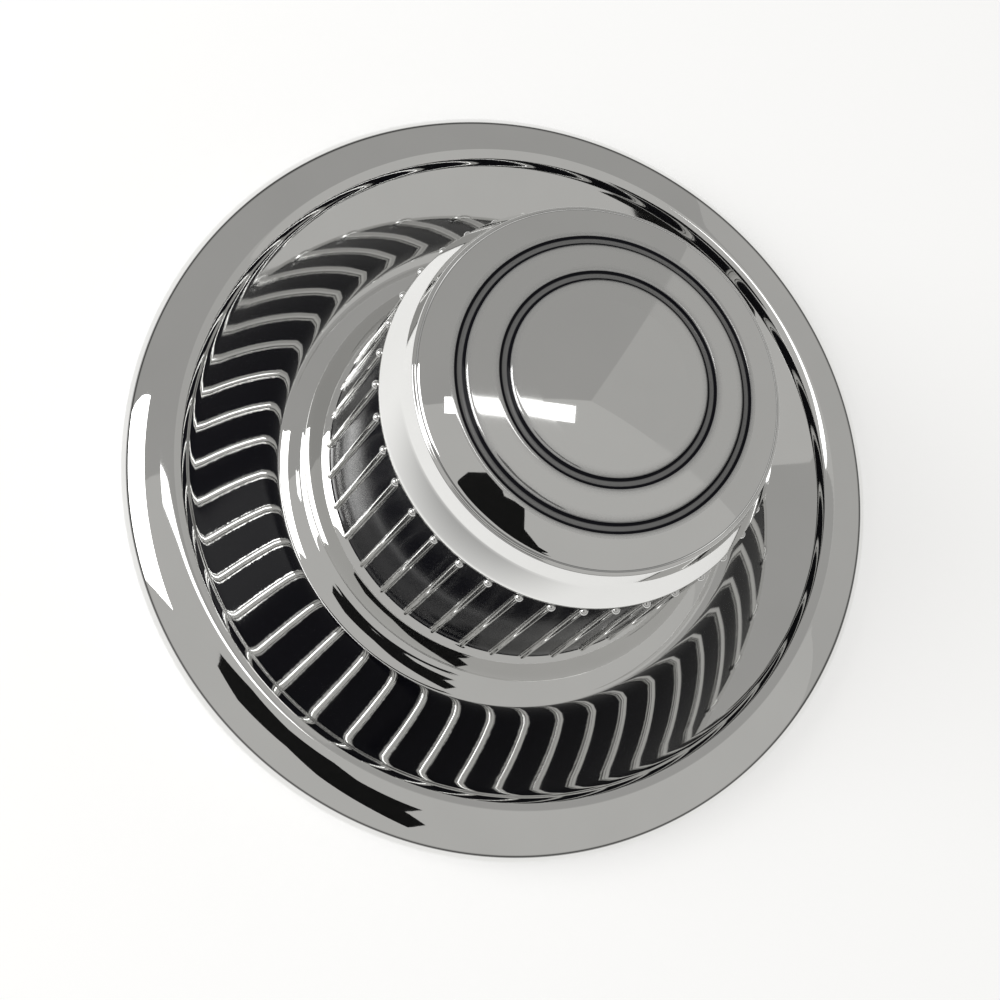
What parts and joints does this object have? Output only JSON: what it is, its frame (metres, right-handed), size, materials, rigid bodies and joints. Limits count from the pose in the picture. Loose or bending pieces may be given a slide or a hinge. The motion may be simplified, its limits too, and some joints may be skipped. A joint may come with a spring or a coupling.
{
  "type": "wheel hubcap",
  "caption": "Round chrome hubcap with a rolled rim, a plain conical dish and a finned neck under a grooved crown.",
  "frame": {"origin": "on the cap's axis, in the plane of the rim's back edge", "axes": "+Z along the axis, from the back edge towards the crown"},
  "size_m": [0.2666, 0.2666, 0.1035],
  "materials": {
    "chrome_plate": "polished",
    "spring_steel": "satin"
  },
  "bodies": {
    "root": {"cap_shell": "chrome_plate", "retaining_clip_1": "spring_steel", "retaining_clip_2": "spring_steel", "retaining_clip_3": "spring_steel", "retaining_clip_4": "spring_steel", "retaining_clip_5": "spring_steel"}
  },
  "joints": []
}
